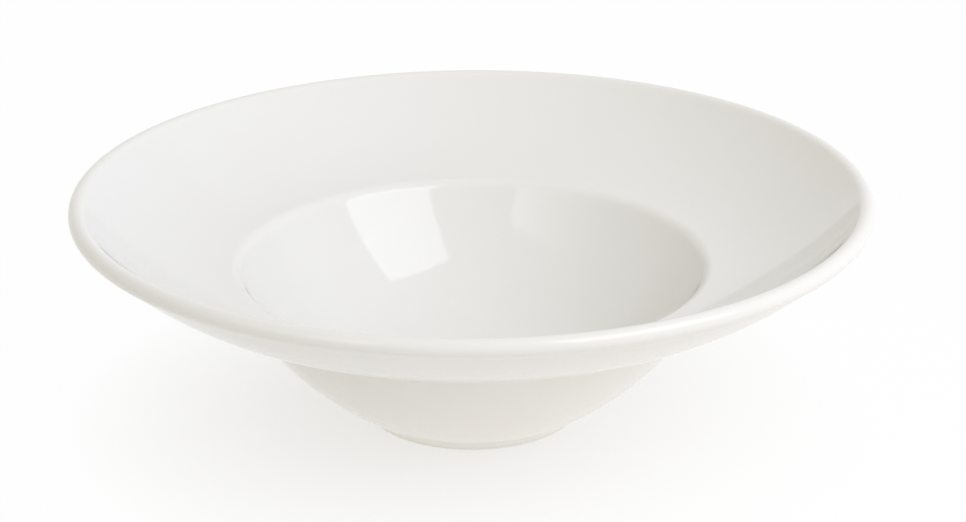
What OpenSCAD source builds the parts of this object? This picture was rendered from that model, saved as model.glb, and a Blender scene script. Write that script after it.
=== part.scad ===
// Wide-rimmed porcelain bowl: a deep round well under a broad dished rim, with a rolled
// lip and a ring foot. It stands on the foot at Z = 0, with the Z axis through its middle.
// All its surfaces are turned about that axis, so one section of circular arcs draws it.
// The clay body lies one glaze thickness inside the surface that shows, and the glaze
// coats fill the space between the two, except on the foot ring's seat, which is bare.

/* [Rim] */
// Overall diameter, over the lip
rim_d = 270; // [250:1:300]
// Overall height
bowl_h = 81.5; // [78:0.5:86]
// Thickness of the rolled lip
lip_t = 6; // [4.5:0.1:7.5]
// Thickness of the rim at its inner edge
rim_t = 7; // [5.5:0.1:8.5]
// Radius of the curve under the rim
under_r = 93.5; // [84:0.5:112]
// Radius of the curve on top of the rim
top_r = 76; // [68:1:100]
// Radius of the cove under the lip
cove_r = 2.5; // [1.5:0.1:4]

/* [Well] */
// Diameter of the shoulder, where the outer wall meets the underside of the rim
shoulder_d = 165; // [156:1:174]
// Height of the shoulder
shoulder_h = 48; // [44:0.5:52]
// Radius of the fillet in the shoulder
shoulder_fillet = 5; // [2:0.5:8]
// Radius of the outer wall's curve, from the shoulder down to the foot
wall_r = 114; // [100:1:135]
// Thickness of the wall
wall_t = 5.6; // [4.5:0.1:7]
// Radius of the turn from the wall into the floor, inside the well
turn_r = 45; // [35:1:58]
// Thickness of the floor
floor_t = 5.5; // [4.5:0.1:7]
// Radius of the rounded edge between the rim and the well
verge_r = 5; // [3:0.1:8]

/* [Foot] */
// Outer diameter of the foot at its seat
foot_d = 74.5; // [68:0.5:80]
// Height of the foot below the wall
foot_h = 2.6; // [2.3:0.1:3.5]
// Lean of the foot's outer side, in degrees
foot_draft = 20; // [12:1:30]
// Width of the foot ring at its seat
foot_w = 4.8; // [3.8:0.1:7]
// Radius of the fillet between the foot and the wall
foot_fillet = 4; // [2:0.1:4.8]
// Radius of the foot ring's two bottom edges
seat_round = 0.8; // [0.4:0.1:1]
// Depth of the hollow inside the foot ring
recess_h = 4.5; // [3.8:0.1:6]
// Radius of the fillet round the top of that hollow
recess_fillet = 2.5; // [1:0.1:3.5]

/* [Glaze] */
// Thickness of the glaze
glaze_t = 0.3; // [0.2:0.05:0.5]
// Height of the bare band on the foot
bare_h = 1.1; // [1:0.1:1.6]

/* [Hidden] */
$fn = 180;

// Arcs that meet tangentially overlap by this much, so that their outlines cross cleanly
overlap = 0.002;
// How far past its sharp corner a rounding's patch reaches, as a share of its own size
patch_reach = 1.4;
// Height by which the lid of the section clears the edge of the well
lid_rise = 2;
// How far the foot runs up into the wall
foot_sink = 1;

function unit(v) = v / norm(v);

// Where two circles cross, on the left of the line from a to b (side 1) or its right (side -1)
function circles_meet(a, ra, b, rb, side) =
    let (
        gap = norm(b - a),
        along = (gap * gap + ra * ra - rb * rb) / (2 * gap),
        across = sqrt(ra * ra - along * along),
        u = unit(b - a)
    )
    a + along * u + side * across * [-u.y, u.x];

// Where a line through p along d first meets a circle
function line_meets(p, d, c, r) =
    let (
        q = p - c,
        back = q * d
    )
    p + (-back - sqrt(back * back - q * q + r * r)) * d;

// Rim: the rolled lip, the underside from the lip to the shoulder, and the top
lip_r = lip_t / 2;
lip_c = [rim_d / 2 - lip_r, bowl_h - lip_r];
lip_foot = lip_c - [0, lip_r];
shoulder = [shoulder_d / 2, shoulder_h];
under_c = circles_meet(shoulder, under_r, lip_foot, under_r, 1);
rim_inner = under_c + (under_r - rim_t) * unit(shoulder - under_c);
top_c = circles_meet(rim_inner, top_r, lip_c, top_r + lip_r, 1);
lip_tip = lip_c + lip_r * unit(top_c - lip_c);
cove_c = circles_meet(under_c, under_r + cove_r, lip_c, lip_r + cove_r, -1);

// Foot: a ring with a leaning outer side and a straight inner one
foot_up = [sin(foot_draft), cos(foot_draft)];
foot_out = [cos(foot_draft), -sin(foot_draft)];
foot_top = foot_h + foot_sink;
recess_r = foot_d / 2 - foot_w;

// A point on the foot's outer side, drawn in by inset, at height z
function foot_side(inset, z) = [foot_d / 2 - inset / cos(foot_draft) + z * tan(foot_draft), z];

// Wall: one curve from the shoulder down to the foot, with a fillet at each end
foot_root = foot_side(0, foot_h);
wall_c = circles_meet(shoulder, wall_r, foot_root, wall_r, -1);
fillet_c = circles_meet(under_c, under_r + shoulder_fillet, wall_c, wall_r + shoulder_fillet, 1);
root_c = line_meets(foot_side(-foot_fillet, 0), foot_up, wall_c, wall_r + foot_fillet);

// Well: the wall's curve on the inside, its turn into the floor, and the edge where the rim begins
well_r = wall_r - wall_t;
floor_z = recess_h + floor_t;
turn_rise = floor_z + turn_r - wall_c.y;
turn_c = wall_c + [sqrt(pow(well_r - turn_r, 2) - turn_rise * turn_rise), turn_rise];
well_end = wall_c + well_r * unit(turn_c - wall_c);
verge_c = circles_meet(wall_c, well_r + verge_r, top_c, top_r + verge_r, -1);
verge_edge = circles_meet(wall_c, well_r, top_c, top_r, -1);

module disc(c, r) {
    translate(c) circle(r = r);
}

// What an arc of radius r about c leaves of the sharp corner k, between the spokes from c
// towards a and on anticlockwise to b: added, it fills a hollow corner with a fillet, and
// cut away, it rounds an edge
module corner(c, r, a, k, b) {
    spoke = patch_reach * r;
    difference() {
        polygon([c, c + spoke * unit(a - c), c + patch_reach * (k - c), c + spoke * unit(b - c)]);
        disc(c, r + overlap);
    }
}

// Foot, filled in to the axis, with its fillet into the wall
module foot(inset) {
    polygon([[0, 0], foot_side(inset, 0), foot_side(inset, foot_top), [0, foot_top]]);
    corner(root_c, foot_fillet + inset, wall_c, foot_root, root_c - foot_out);
}

// All that lies inside the outer surface, up to a lid over the rim and the well
module outside(inset) {
    intersection() {
        polygon([
            [0, 0],
            [lip_c.x, 0],
            lip_c,
            lip_tip,
            rim_inner + [0, lid_rise],
            [0, rim_inner.y + lid_rise]
        ]);
        union() {
            disc(under_c, under_r - inset);
            disc(wall_c, wall_r - inset);
            corner(fillet_c, shoulder_fillet + inset, under_c, shoulder, wall_c);
            foot(inset);
        }
    }
}

// The space over the well and the rim
module hollow(inset) {
    disc(top_c, top_r + inset + overlap);
    intersection() {
        disc(wall_c, well_r + inset);
        translate([0, well_end.y]) square([rim_d, bowl_h]);
    }
    disc(turn_c, turn_r + inset + overlap);
    translate([0, floor_z - inset]) square([turn_c.x, turn_r]);
    corner(verge_c, verge_r - inset, top_c, verge_edge, wall_c);
}

// Half section of the bowl with its surface drawn in by inset, and no hollow under its base
module section(inset) {
    difference() {
        outside(inset);
        hollow(inset);
    }
    disc(lip_c, lip_r - inset);
    corner(cove_c, cove_r + inset, lip_c, lip_foot, under_c);
}

// The space inside the foot ring
module recess(inset) {
    corner_c = [recess_r - recess_fillet, recess_h - recess_fillet];
    square([recess_r + inset, corner_c.y]);
    square([corner_c.x, recess_h + inset]);
    disc(corner_c, recess_fillet + inset + overlap);
}

// The foot ring's bottom edges, which stay bare
module seat_edges() {
    outer_c = foot_side(glaze_t + seat_round, seat_round);
    inner_c = [recess_r + glaze_t + seat_round, seat_round];
    corner(outer_c, seat_round, outer_c - [0, 1], foot_side(glaze_t, 0), outer_c + foot_out);
    corner(inner_c, seat_round, inner_c - [1, 0], [recess_r + glaze_t, 0], inner_c - [0, 1]);
}

// What lies above the bare band
module glazed_part() {
    intersection() {
        translate([0, bare_h]) square([rim_d, bowl_h]);
        children();
    }
}

module porcelain_body() {
    color("#ece7dc")
    rotate_extrude()
    difference() {
        section(glaze_t);
        recess(glaze_t);
        seat_edges();
    }
}

module glaze_coat() {
    color("#f4f3ef")
    rotate_extrude()
    glazed_part()
    difference() {
        section(0);
        section(glaze_t);
    }
}

module base_glaze() {
    color("#f1efe9")
    rotate_extrude()
    glazed_part()
    difference() {
        recess(glaze_t);
        recess(0);
    }
}

porcelain_body();
glaze_coat();
base_glaze();
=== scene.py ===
import math

import bpy
from mathutils import Matrix, Vector, noise


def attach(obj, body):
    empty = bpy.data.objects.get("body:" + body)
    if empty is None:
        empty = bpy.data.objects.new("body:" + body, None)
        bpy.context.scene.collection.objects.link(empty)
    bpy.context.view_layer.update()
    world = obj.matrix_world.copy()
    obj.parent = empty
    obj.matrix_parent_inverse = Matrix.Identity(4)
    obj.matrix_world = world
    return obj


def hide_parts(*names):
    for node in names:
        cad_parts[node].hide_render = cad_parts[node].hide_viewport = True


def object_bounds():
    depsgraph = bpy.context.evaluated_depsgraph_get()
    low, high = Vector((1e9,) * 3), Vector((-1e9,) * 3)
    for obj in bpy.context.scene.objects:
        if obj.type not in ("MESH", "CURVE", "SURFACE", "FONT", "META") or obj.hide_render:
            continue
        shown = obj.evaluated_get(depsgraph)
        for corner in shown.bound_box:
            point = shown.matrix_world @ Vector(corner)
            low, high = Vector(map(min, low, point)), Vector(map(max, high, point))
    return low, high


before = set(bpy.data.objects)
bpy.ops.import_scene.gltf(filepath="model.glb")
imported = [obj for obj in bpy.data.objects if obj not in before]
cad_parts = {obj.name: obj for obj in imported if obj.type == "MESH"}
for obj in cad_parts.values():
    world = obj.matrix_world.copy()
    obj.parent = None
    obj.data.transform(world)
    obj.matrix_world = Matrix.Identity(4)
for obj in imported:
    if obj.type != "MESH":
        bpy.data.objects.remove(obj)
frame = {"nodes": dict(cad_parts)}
cadLow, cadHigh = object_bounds()
print("frame loaded:", ", ".join(frame["nodes"]))

# the turned shape, in metres; its width and height come from the frame
bowl = {
    "lipThick": 0.006,
    "rimThick": 0.007,
    "underRadius": 0.0935,
    "topRadius": 0.076,
    "coveRadius": 0.0025,
    "shoulder": (0.0825, 0.048),
    "shoulderFillet": 0.005,
    "wallRadius": 0.114,
    "wallThick": 0.0056,
    "turnRadius": 0.045,
    "floorThick": 0.0055,
    "vergeRadius": 0.005,
    "footRadius": 0.03725,
    "footHeight": 0.0026,
    "footLean": math.radians(20),
    "footWidth": 0.0048,
    "footFillet": 0.004,
    "seatRound": 0.0008,
    "recessDepth": 0.0045,
    "recessFillet": 0.0025,
    "glazeThick": 0.0003,
    "bareBand": 0.0011,
    "rowStep": 0.0022,              # spacing of the rows of points
    "rowTurn": math.radians(4),     # most that an arc turns from one row to the next
    "edgeStep": 0.0002,             # closer rows at the glaze line and on the seat
    "segments": 216,                # points round each row
    "sharpFrom": math.radians(50),  # edges that turn more than this are shaded sharp
}
rimRadius = min(cadHigh.x, cadHigh.y, -cadLow.x, -cadLow.y)
rimTop = cadHigh.z
samePoint = 1e-7        # points nearer to each other than this are one


def circlesMeet(a, ra, b, rb, side):    # side 1 is left of the line from a to b, -1 right
    gap = (b - a).length
    along = (gap * gap + ra * ra - rb * rb) / (2 * gap)
    across = math.sqrt(ra * ra - along * along)
    u = (b - a).normalized()
    return a + along * u + side * across * Vector((-u.y, u.x))


def lineMeets(p, d, c, r):      # where a line from p along d first meets a circle
    q = p - c
    back = q.dot(d)
    return p + (-back - math.sqrt(back * back - q.dot(q) + r * r)) * d


def towards(centre, radius, target):    # the point of a circle that faces target
    return centre + radius * (target - centre).normalized()


def arc(centre, start, end):    # the short way round
    a = math.atan2(start.y - centre.y, start.x - centre.x)
    b = math.atan2(end.y - centre.y, end.x - centre.x)
    swing = (b - a + math.pi) % (2 * math.pi) - math.pi
    radius = (start - centre).length
    rows = max(abs(swing) * radius / bowl["rowStep"], abs(swing) / bowl["rowTurn"])
    count = max(2, math.ceil(rows))
    turns = [a + swing * i / count for i in range(count + 1)]
    return [centre + radius * Vector((math.cos(t), math.sin(t))) for t in turns]


def line(start, end, step):
    count = max(1, math.ceil((end - start).length / step))
    return [start.lerp(end, i / count) for i in range(count + 1)]


def joined(*runs):      # one path, without the doubled ends
    path = []
    for run in runs:
        path += [p for p in run if not path or (p - path[-1]).length > samePoint]
    return path


def footSide(inset, z):     # the foot's outer side, drawn in by inset, at height z
    lean = bowl["footLean"]
    return Vector((bowl["footRadius"] - inset / math.cos(lean) + z * math.tan(lean), z))


# from the glaze line on the foot, up the outside, over the lip and down to the middle of the well
def outerPath():
    lipR = bowl["lipThick"] / 2
    lipC = Vector((rimRadius - lipR, rimTop - lipR))
    lipOut = lipC + Vector((lipR, 0))
    shoulder = Vector(bowl["shoulder"])
    underR, topR, wallR = bowl["underRadius"], bowl["topRadius"], bowl["wallRadius"]
    turnR, coveR, vergeR = bowl["turnRadius"], bowl["coveRadius"], bowl["vergeRadius"]
    underC = circlesMeet(shoulder, underR, lipC - Vector((0, lipR)), underR, 1)
    rimInner = towards(underC, underR - bowl["rimThick"], shoulder)
    topC = circlesMeet(rimInner, topR, lipC, topR + lipR, 1)
    coveC = circlesMeet(underC, underR + coveR, lipC, lipR + coveR, -1)
    wallC = circlesMeet(shoulder, wallR, footSide(0, bowl["footHeight"]), wallR, -1)
    filletR = bowl["shoulderFillet"]
    filletC = circlesMeet(underC, underR + filletR, wallC, wallR + filletR, 1)
    lean, rootR = bowl["footLean"], bowl["footFillet"]
    footOut = Vector((math.cos(lean), -math.sin(lean)))
    footUp = Vector((math.sin(lean), math.cos(lean)))
    rootC = lineMeets(footSide(-rootR, 0), footUp, wallC, wallR + rootR)
    footEnd = rootC - rootR * footOut
    wellR = wallR - bowl["wallThick"]
    vergeC = circlesMeet(wallC, wellR + vergeR, topC, topR + vergeR, -1)
    floorHigh = bowl["recessDepth"] + bowl["floorThick"]
    turnRise = floorHigh + turnR - wallC.y
    turnC = wallC + Vector((math.sqrt((wellR - turnR) ** 2 - turnRise ** 2), turnRise))
    wellLow = towards(wallC, wellR, turnC)      # wall and turn meet here
    floorEdge = Vector((turnC.x, floorHigh))
    return joined(
        line(footSide(0, bowl["bareBand"]), footEnd, bowl["edgeStep"]),
        arc(rootC, footEnd, towards(rootC, rootR, wallC)),
        arc(wallC, towards(wallC, wallR, rootC), towards(wallC, wallR, filletC)),
        arc(filletC, towards(filletC, filletR, wallC), towards(filletC, filletR, underC)),
        arc(underC, towards(underC, underR, filletC), towards(underC, underR, coveC)),
        arc(coveC, towards(coveC, coveR, underC), towards(coveC, coveR, lipC)),
        arc(lipC, towards(lipC, lipR, coveC), lipOut),
        arc(lipC, lipOut, towards(lipC, lipR, topC)),
        arc(topC, towards(topC, topR, lipC), towards(topC, topR, vergeC)),
        arc(vergeC, towards(vergeC, vergeR, topC), towards(vergeC, vergeR, wallC)),
        arc(wallC, towards(wallC, wellR, vergeC), wellLow),
        arc(turnC, wellLow, floorEdge),
        line(floorEdge, Vector((0, floorEdge.y)), bowl["rowStep"]),
    )


# the hollow in the foot, from its middle out and down to its glaze line
def recessPath():
    side = bowl["footRadius"] - bowl["footWidth"]
    fillet, top = bowl["recessFillet"], bowl["recessDepth"]
    bend = Vector((side - fillet, top - fillet))
    return joined(
        line(Vector((0, top)), Vector((bend.x, top)), bowl["rowStep"]),
        arc(bend, Vector((bend.x, top)), Vector((side, bend.y))),
        line(Vector((side, bend.y)), Vector((side, bowl["bareBand"])), bowl["edgeStep"]),
    )


# the bare ring that it stands on, from the hollow's glaze line round to the outer one
def seatPath():
    lean, glaze, rounding = bowl["footLean"], bowl["glazeThick"], bowl["seatRound"]
    bare, step = bowl["bareBand"], bowl["edgeStep"]
    inside = bowl["footRadius"] - bowl["footWidth"] + glaze
    innerC = Vector((inside + rounding, rounding))
    outerC = footSide(glaze + rounding, rounding)
    outerEdge = outerC + rounding * Vector((math.cos(lean), -math.sin(lean)))
    low = Vector((0, rounding))
    return joined(
        line(Vector((inside, bare)), Vector((inside, rounding)), step),
        arc(innerC, Vector((inside, rounding)), innerC - low),
        line(innerC - low, outerC - low, step),
        arc(outerC, outerC - low, outerEdge),
        line(outerEdge, footSide(glaze, bare), step),
    )


def outwards(path):     # the way out of the clay at each point, on the right of the path's run
    ways = []
    for i, p in enumerate(path):
        d = path[min(i + 1, len(path) - 1)] - path[max(i - 1, 0)]
        ways.append(Vector((d.y, -d.x)).normalized())
        if p.x < samePoint:
            ways[-1] = Vector((0, math.copysign(1, ways[-1].y)))
    return ways


def runLength(path):
    run = [0]
    for a, b in zip(path, path[1:]):
        run.append(run[-1] + (b - a).length)
    return run


# how wet glaze moves: it draws off rounded edges and gathers in hollows
glazeFlow = {
    "spread": 0.0022,       # it evens out over this length
    "reach": 3,             # and not beyond this many times that
    "fullBend": 260,        # curvature, for each metre, at which it has moved all it can
}


def glazeGather(path):      # from -1, drawn off, to 1, gathered, at each point
    run, ways = runLength(path), outwards(path)
    spread, last = glazeFlow["spread"], len(path) - 1
    reach = glazeFlow["reach"] * spread
    bend = [0.0] * len(path)
    for i in range(1, last):
        d = path[i + 1] - path[i - 1]
        bend[i] = -(ways[i + 1] - ways[i - 1]).dot(d) / d.dot(d)
    widths = [run[min(j + 1, last)] - run[max(j - 1, 0)] for j in range(len(path))]
    gathered = []
    for s in run:
        near = [j for j, r in enumerate(run) if abs(r - s) < reach]
        shares = [math.exp(-((run[j] - s) / spread) ** 2 / 2) * widths[j] for j in near]
        mean = sum(w * bend[j] for w, j in zip(shares, near)) / sum(shares)
        gathered.append(max(-1, min(1, mean / glazeFlow["fullBend"])))
    return gathered


# what the kiln leaves of a perfect turning: slightly oval, with a rim that dips a little
firedForm = {
    "oval": 0.00012,        # metres at the lip
    "ovalPhase": 0.9,       # radians
    "dip": 0.00018,
    "dipWaves": ((2, 0.4, 0.3), (3, -1.1, 0.2)),    # times round, phase and share of the dip
    "ripple": 0.00003,
    "rippleSize": 0.035,
    "trueBelow": 0.004,     # the foot stays true up to this height
    "rippleFade": 0.01,     # the ripple grows to its full depth over this much above it
    "axisRoom": 0.01,       # and it all dies away this near to the axis
}


def fired(p):
    if p.z < firedForm["trueBelow"]:
        return p
    across = math.hypot(p.x, p.y)
    reach = (across / rimRadius) ** 2
    turn = math.atan2(p.y, p.x)
    shrink = firedForm["oval"] * reach * (0.5 + 0.5 * math.cos(2 * turn - firedForm["ovalPhase"]))
    waves = [part * math.cos(times * turn + phase) for times, phase, part in firedForm["dipWaves"]]
    sink = firedForm["dip"] * reach * (0.5 + sum(waves))
    grown = min(1, (p.z - firedForm["trueBelow"]) / firedForm["rippleFade"])
    ripple = firedForm["ripple"] * grown * (noise.noise(p / firedForm["rippleSize"]) - 1) / 2
    keep = 1 - (shrink - ripple) / max(across, firedForm["axisRoom"])
    return Vector((p.x * keep, p.y * keep, p.z - sink))


# glaze ends in a rounded roll at the line where it was wiped off
glazeEdge = {
    "roundOver": 0.0005,
    "roll": 0.30,           # share by which it stands proud just above the line
    "rollPlace": 0.0011,
    "rollWidth": 0.0005,
    "waver": 0.00022,       # how far the line wanders up and down
    "waverFade": 0.0012,    # and over what height that dies away
    "waverPace": (3.1, 1.7),    # how quickly it wanders on the way round
}


def glazeLift(fromLine):        # share of the full thickness at a distance from the line
    over = min(1, fromLine / glazeEdge["roundOver"])
    place = (fromLine - glazeEdge["rollPlace"]) / glazeEdge["rollWidth"]
    return math.sqrt(over * (2 - over)) * (1 + glazeEdge["roll"] * math.exp(-place ** 2))


def addObject(name, data):
    made = bpy.data.objects.new(name, data)
    bpy.context.scene.collection.objects.link(made)
    return made


# turns a closed section about the axis; gather is kept at each point for the glaze's colour
def turnedPiece(name, loop, gather=None, lineWaver=0):
    count = bowl["segments"]
    pace, crossPace = glazeEdge["waverPace"]
    verts, rows, faces, kept = [], [], [], []
    for k, p in enumerate(loop):
        ring = 1 if p.x < samePoint else count
        rows.append(range(len(verts), len(verts) + ring))
        nearLine = math.exp(-max(0, p.y - bowl["bareBand"]) / glazeEdge["waverFade"])
        for i in range(ring):
            t = 2 * math.pi * i / count
            around = Vector((math.cos(t), math.sin(t), 0))
            waver = lineWaver * nearLine * noise.noise(around * pace + around.yxz * crossPace)
            verts.append(fired(Vector((p.x * around.x, p.x * around.y, p.y + waver))))
            kept.append(gather[k] if gather else 0)
    for low, high in zip(rows, rows[1:] + rows[:1]):
        for i in range(count):
            j = (i + 1) % count
            if len(low) > 1 and len(high) > 1:
                faces.append((low[i], low[j], high[j], high[i]))
            elif len(low) > 1:
                faces.append((low[i], low[j], high[0]))
            elif len(high) > 1:
                faces.append((low[0], high[j], high[i]))
    mesh = bpy.data.meshes.new(name)
    mesh.from_pydata(verts, [], faces)
    mesh.polygons.foreach_set("use_smooth", [True] * len(faces))
    mesh.set_sharp_from_angle(angle=bowl["sharpFrom"])
    if gather:
        mesh.attributes.new("glazeGather", "FLOAT", "POINT").data.foreach_set("value", kept)
    mesh.validate()
    print("turned", name, len(verts), "points")
    return addObject(name, mesh)


thick = bowl["glazeThick"]
outer = outerPath()
outerWays, outerRun = outwards(outer), runLength(outer)
outerClay = [p - thick * n for p, n in zip(outer, outerWays)]
outerSkin = [c + thick * glazeLift(s) * n for c, n, s in zip(outerClay, outerWays, outerRun)]
recess = recessPath()
recessWays, recessRun = outwards(recess), runLength(recess)
recessLeft = [recessRun[-1] - s for s in recessRun]
recessClay = [p - thick * n for p, n in zip(recess, recessWays)]
recessSkin = [c + thick * glazeLift(s) * n for c, n, s in zip(recessClay, recessWays, recessLeft)]

# each coat runs out along its skin and back along the clay, without the point where they meet
outerLoop, recessLoop = outerSkin + outerClay[:0:-1], recessSkin + recessClay[-2::-1]
outerGather, recessGather = glazeGather(outer), glazeGather(recess)
outerGather, recessGather = outerGather + outerGather[:0:-1], recessGather + recessGather[-2::-1]
glazeCoat = turnedPiece("glazeCoat", outerLoop, outerGather, glazeEdge["waver"])
baseGlaze = turnedPiece("baseGlaze", recessLoop, recessGather, glazeEdge["waver"])
clayBody = turnedPiece("clayBody", joined(outerClay, recessClay, seatPath())[:-1])

for piece, node, slot in (
    (glazeCoat, "glaze_coat", "glaze"),
    (baseGlaze, "base_glaze", "glaze"),
    (clayBody, "porcelain_body", "porcelain"),
):
    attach(piece, "root")
    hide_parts(node)


def newMaterial(name):
    material = bpy.data.materials.new(name)
    material.use_nodes = True
    tree = material.node_tree
    return material, tree, tree.nodes["Principled BSDF"]


def put(tree, kind, values=None, **settings):
    node = tree.nodes.new(kind)
    for key, value in settings.items():
        setattr(node, key, value)
    for key, value in (values or {}).items():
        node.inputs[key].default_value = value
    return node


def feed(tree, value, socket):      # an output is linked, a plain value is set
    if isinstance(value, bpy.types.NodeSocket):
        tree.links.new(value, socket)
    else:
        socket.default_value = value


def maths(tree, way, *values, clamp=False):
    node = put(tree, "ShaderNodeMath", operation=way, use_clamp=clamp)
    for value, socket in zip(values, node.inputs):
        feed(tree, value, socket)
    return node.outputs[0]


def grainNoise(tree, where, size, detail=2.0, rough=0.5):      # size in metres
    settings = {"Scale": 1 / size, "Detail": detail, "Roughness": rough}
    node = put(tree, "ShaderNodeTexNoise", settings)
    tree.links.new(where.outputs["Object"], node.inputs["Vector"])
    return node.outputs["Fac"]


def remap(tree, value, low, high, toLow, toHigh):
    node = put(tree, "ShaderNodeMapRange")
    names = ("Value", "From Min", "From Max", "To Min", "To Max")
    for name, given in zip(names, (value, low, high, toLow, toHigh)):
        feed(tree, given, node.inputs[name])
    return node.outputs["Result"]


def blendColour(tree, factor, first, second, way="MIX"):      # each is a value or an output
    node = put(tree, "ShaderNodeMix", data_type="RGBA", blend_type=way)
    sockets = {socket.identifier: socket for socket in node.inputs}
    feed(tree, factor, sockets["Factor_Float"])
    feed(tree, first, sockets["A_Color"])
    feed(tree, second, sockets["B_Color"])
    return next(socket for socket in node.outputs if socket.type == "RGBA")


def roughen(tree, shader, height, depth):       # bump of this depth in metres
    bump = put(tree, "ShaderNodeBump", {"Strength": 1.0, "Distance": depth})
    tree.links.new(height, bump.inputs["Height"])
    tree.links.new(bump.outputs["Normal"], shader.inputs["Normal"])


noiseSpan = (0.3, 0.7)      # where nearly all of a noise's values lie

glazeFinish = {
    "white": (0.84, 0.832, 0.812, 1),
    "thin": (0.85, 0.837, 0.808, 1),     # on rounded edges, where the clay shows through
    "thinFrom": (-0.1, -1),
    "pooled": (0.82, 0.822, 0.808, 1),   # where it gathers
    "pooledFrom": (0.05, 1),
    "flowTint": 0.8,                    # most of either that shows
    "cloud": (0.83, 0.82, 0.797, 1),
    "cloudSize": 0.045,
    "cloudFrom": (0.35, 0.7),
    "speck": (0.55, 0.50, 0.43, 1),     # pin-head specks of iron
    "speckCell": 0.016,
    "speckSize": (0.010, 0.018),        # in cells: full up to here, gone from there
    "speckAbove": 0.84,                 # leaves one cell in six with a speck
    "speckDepth": 0.45,
    "gloss": (0.045, 0.085),            # roughness, smoothest and dullest
    "glossSize": 0.02,
    "wave": 0.006,                      # size of the ripple in the glaze
    "waveHeight": 0.00002,
    "ior": 1.52,
}


def glazeMaterial(name, finish):
    material, tree, shader = newMaterial(name)
    where = put(tree, "ShaderNodeTexCoord")
    clouds = grainNoise(tree, where, finish["cloudSize"], detail=3)
    clouds = remap(tree, clouds, *finish["cloudFrom"], 0, 1)
    colour = blendColour(tree, clouds, finish["white"], finish["cloud"])
    gathered = put(tree, "ShaderNodeAttribute", attribute_name="glazeGather").outputs["Fac"]
    pooled = remap(tree, gathered, *finish["pooledFrom"], 0, finish["flowTint"])
    colour = blendColour(tree, pooled, colour, finish["pooled"])
    thin = remap(tree, gathered, *finish["thinFrom"], 0, finish["flowTint"])
    colour = blendColour(tree, thin, colour, finish["thin"])
    cells = put(tree, "ShaderNodeTexVoronoi", {"Scale": 1 / finish["speckCell"]})
    tree.links.new(where.outputs["Object"], cells.inputs["Vector"])
    chance = put(tree, "ShaderNodeSeparateColor")
    tree.links.new(cells.outputs["Color"], chance.inputs["Color"])
    few = maths(tree, "GREATER_THAN", chance.outputs["Red"], finish["speckAbove"])
    dot = remap(tree, cells.outputs["Distance"], *finish["speckSize"], finish["speckDepth"], 0)
    colour = blendColour(tree, maths(tree, "MULTIPLY", dot, few), colour, finish["speck"])
    tree.links.new(colour, shader.inputs["Base Color"])
    dull = grainNoise(tree, where, finish["glossSize"], detail=4)
    tree.links.new(remap(tree, dull, *noiseSpan, *finish["gloss"]), shader.inputs["Roughness"])
    ripple = grainNoise(tree, where, finish["wave"], detail=1.5)
    roughen(tree, shader, ripple, finish["waveHeight"])
    shader.inputs["IOR"].default_value = finish["ior"]
    return material


footGlazeFinish = dict(glazeFinish, white=(0.81, 0.80, 0.77, 1), gloss=(0.07, 0.14))

clayFinish = {
    "clay": (0.84, 0.828, 0.80, 1),
    "grain": (0.79, 0.775, 0.74, 1),
    "grainSize": 0.0005,
    "grainFrom": (0.45, 0.75),
    "rubbed": (0.66, 0.64, 0.60, 1),    # where it has stood
    "rubHeight": 0.00025,
    "rubSize": 0.004,
    "rubFrom": (0.42, 0.62),
    "rubMost": 0.75,
    "rough": (0.62, 0.85),
    "toothHeight": 0.00006,
}


def clayMaterial(name, finish):
    material, tree, shader = newMaterial(name)
    where = put(tree, "ShaderNodeTexCoord")
    fine = grainNoise(tree, where, finish["grainSize"], detail=4, rough=0.65)
    grain = remap(tree, fine, *finish["grainFrom"], 0, 1)
    colour = blendColour(tree, grain, finish["clay"], finish["grain"])
    place = put(tree, "ShaderNodeSeparateXYZ")
    tree.links.new(where.outputs["Object"], place.inputs["Vector"])
    low = remap(tree, place.outputs["Z"], 0, finish["rubHeight"], 1, 0)
    patchy = grainNoise(tree, where, finish["rubSize"], detail=4)
    patchy = remap(tree, patchy, *finish["rubFrom"], 0, finish["rubMost"])
    colour = blendColour(tree, maths(tree, "MULTIPLY", low, patchy), colour, finish["rubbed"])
    tree.links.new(colour, shader.inputs["Base Color"])
    tree.links.new(remap(tree, fine, *noiseSpan, *finish["rough"]), shader.inputs["Roughness"])
    roughen(tree, shader, fine, finish["toothHeight"])
    return material


glazeCoat.data.materials.append(glazeMaterial("whiteGlaze", glazeFinish))
baseGlaze.data.materials.append(glazeMaterial("footGlaze", footGlazeFinish))
clayBody.data.materials.append(clayMaterial("firedClay", clayFinish))
print("finishes done")


def seenDirectly(tree):     # 1 for what the camera sees, straight, mirrored or through glass
    path = put(tree, "ShaderNodeLightPath").outputs
    seen = maths(tree, "MAXIMUM", path["Is Camera Ray"], path["Is Glossy Ray"])
    return maths(tree, "MAXIMUM", seen, path["Is Transmission Ray"])


def mixedSurface(tree, factor, first, second, output):
    node = put(tree, "ShaderNodeMixShader")
    tree.links.new(factor, node.inputs["Fac"])
    tree.links.new(first.outputs[0], node.inputs[1])
    tree.links.new(second.outputs[0], node.inputs[2])
    tree.links.new(node.outputs[0], tree.nodes[output].inputs["Surface"])


plainWhite = (1, 1, 1, 1)

floorLook = {
    "colour": (0.93, 0.927, 0.92, 1),
    "rough": 0.9,
    "sheen": 0.1,
    "reach": 3.0,
    "white": (0.52, 0.97),          # share of plain white that shows, at the foot and away from it
    "whiteFrom": (0.036, 0.14),     # over this stretch from the middle
    "lit": (0.80, 0.05),            # share of light that it gives off, as a light table does
    "litFrom": (0.06, 0.26),
    "litLean": 2.7,                 # more of it to the right, for each metre
    "litColour": (1, 0.96, 0.885, 1),
}


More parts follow.
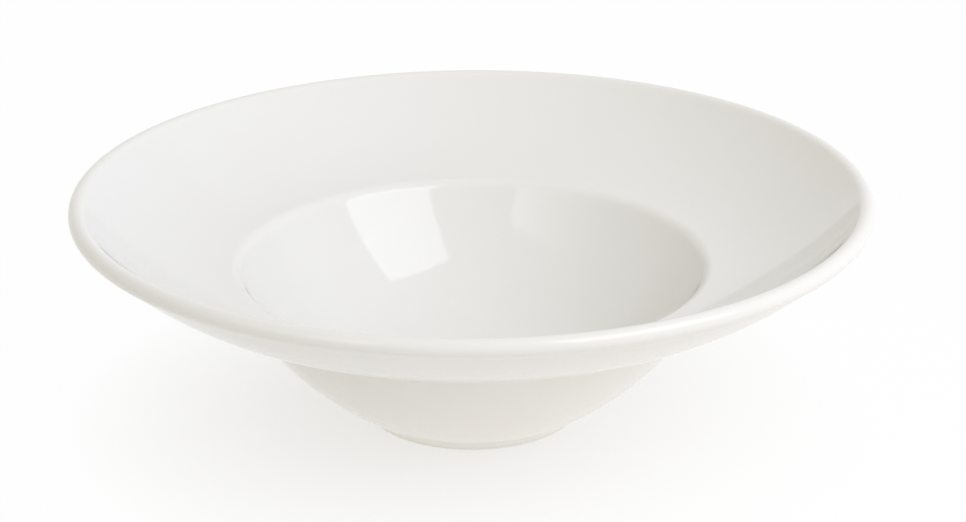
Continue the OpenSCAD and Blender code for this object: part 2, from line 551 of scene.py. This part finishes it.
def makeFloor():
    edge = floorLook["reach"]
    corners = [(-edge, -edge, 0), (edge, -edge, 0), (edge, edge, 0), (-edge, edge, 0)]
    mesh = bpy.data.meshes.new("studioFloor")
    mesh.from_pydata(corners, [], [(0, 1, 2, 3)])
    floor = addObject("studioFloor", mesh)
    material, tree, shader = newMaterial("paleFloor")
    shader.inputs["Base Color"].default_value = floorLook["colour"]
    shader.inputs["Roughness"].default_value = floorLook["rough"]
    shader.inputs["Specular IOR Level"].default_value = floorLook["sheen"]
    seen = seenDirectly(tree)
    glow = put(tree, "ShaderNodeEmission", {"Strength": 1})
    glowColour = blendColour(tree, seen, floorLook["litColour"], plainWhite)
    tree.links.new(glowColour, glow.inputs["Color"])
    where = put(tree, "ShaderNodeTexCoord").outputs["Object"]
    distance = put(tree, "ShaderNodeVectorMath", operation="LENGTH")
    tree.links.new(where, distance.inputs[0])
    away = distance.outputs["Value"]
    white = remap(tree, away, *floorLook["whiteFrom"], *floorLook["white"])
    lit = remap(tree, away, *floorLook["litFrom"], *floorLook["lit"])
    place = put(tree, "ShaderNodeSeparateXYZ")
    tree.links.new(where, place.inputs["Vector"])
    lean = floorLook["litLean"]
    lit = maths(tree, "MULTIPLY_ADD", place.outputs["X"], lean, lit, clamp=True)
    share = remap(tree, seen, 0, 1, lit, white)
    mixedSurface(tree, share, shader, glow, "Material Output")
    mesh.materials.append(material)


# soft light all round, and more of it from each side; the camera sees plain white there
roomLook = {
    "light": (0.072, 0.071, 0.069, 1),
    "sides": [
        ((1, 0, 0), (0.925, 0.935, 1.012, 1)),
        ((-1, 0, 0), (0.39, 0.35, 0.24, 1)),
        ((0, -0.8, 0.6), (0.24, 0.24, 0.24, 1)),
        ((0, 0, 1), (0.358, 0.356, 0.35, 1)),
    ],
}


def makeRoom():
    world = bpy.data.worlds.new("studio")
    world.use_nodes = True
    bpy.context.scene.world = world
    tree = world.node_tree
    where = put(tree, "ShaderNodeTexCoord")
    colour = roomLook["light"]
    for side, light in roomLook["sides"]:
        facing = put(tree, "ShaderNodeVectorMath", {1: side}, operation="DOT_PRODUCT")
        tree.links.new(where.outputs["Generated"], facing.inputs[0])
        part = remap(tree, facing.outputs["Value"], 0, 1, 0, 1)     # none on the far side
        colour = blendColour(tree, part, colour, light, "ADD")
    room = tree.nodes["Background"]
    tree.links.new(colour, room.inputs["Color"])
    white = put(tree, "ShaderNodeBackground", {"Color": plainWhite, "Strength": 1})
    mixedSurface(tree, seenDirectly(tree), room, white, "World Output")


# soft boxes, where the glaze mirrors them; level is the brightness of the panel, 1 being white
softBoxes = {
    "keyPanel": {
        "centre": (0.52, -0.37, 0.748),
        "facing": (-0.578, 0.773, -0.262),
        "size": (0.649, 0.69),
        "level": 2.25,
        "tint": (0.925, 0.96, 1),
        "fade": (1,),
    },
    "fillPanel": {
        "centre": (-0.672, -0.451, 0.704),
        "facing": (0.758, 0.653, 0.005),
        "size": (0.876, 0.64),
        "level": 1.17,
        "tint": (1, 1, 1),
        "fade": (0.1, 0.18, 0.32, 0.5, 0.73, 1),
    },
}


def softBox(name, look):        # one lamp for each step of the panel's fade
    turn = Vector(look["facing"]).to_track_quat("-Z", "Y")
    wide, high = look["size"]
    steps = len(look["fade"])
    for i, part in enumerate(look["fade"]):
        lamp = bpy.data.lights.new(name + str(i), "AREA")
        lamp.shape = "RECTANGLE"
        lamp.size, lamp.size_y = wide / steps, high
        lamp.color = look["tint"]
        lamp.energy = look["level"] * part * math.pi * lamp.size * lamp.size_y
        panel = addObject(name + str(i), lamp)
        aside = Vector(((i + 0.5) / steps - 0.5, 0, 0)) * wide
        panel.location = Vector(look["centre"]) + turn @ aside
        panel.rotation_euler = turn.to_euler()
        panel.visible_camera = False


makeFloor()
makeRoom()
for boxName, boxLook in softBoxes.items():
    softBox(boxName, boxLook)
print("stage and light done")

shot = {
    "lens": 90,
    "sensor": 36,
    "distance": 0.84604,
    "height": 0.43290,      # angles in radians
    "pan": 0.00445,
    "tilt": 0.05917,
    "roll": -0.00670,
    "clip": (0.01, 50),
}


def makeCamera():
    c, s = math.cos(shot["height"]), math.sin(shot["height"])
    up = Vector((0, s, c))
    ahead = Vector((math.tan(shot["pan"]), c, -s)) + math.tan(shot["tilt"]) * up
    ahead = ahead.normalized()
    across = ahead.cross(up).normalized()
    above = across.cross(ahead)
    right = math.cos(shot["roll"]) * across + math.sin(shot["roll"]) * above
    top = math.cos(shot["roll"]) * above - math.sin(shot["roll"]) * across
    lens = bpy.data.cameras.new("shot")
    lens.lens, lens.sensor_width, lens.sensor_fit = shot["lens"], shot["sensor"], "HORIZONTAL"
    lens.clip_start, lens.clip_end = shot["clip"]
    camera = addObject("shot", lens)
    place = Matrix.Translation(shot["distance"] * Vector((0, -c, s)))
    camera.matrix_world = place @ Matrix((right, top, -ahead)).transposed().to_4x4()
    bpy.context.scene.camera = camera


makeCamera()
bpy.context.scene.view_settings.view_transform = "Standard"
print("camera done")
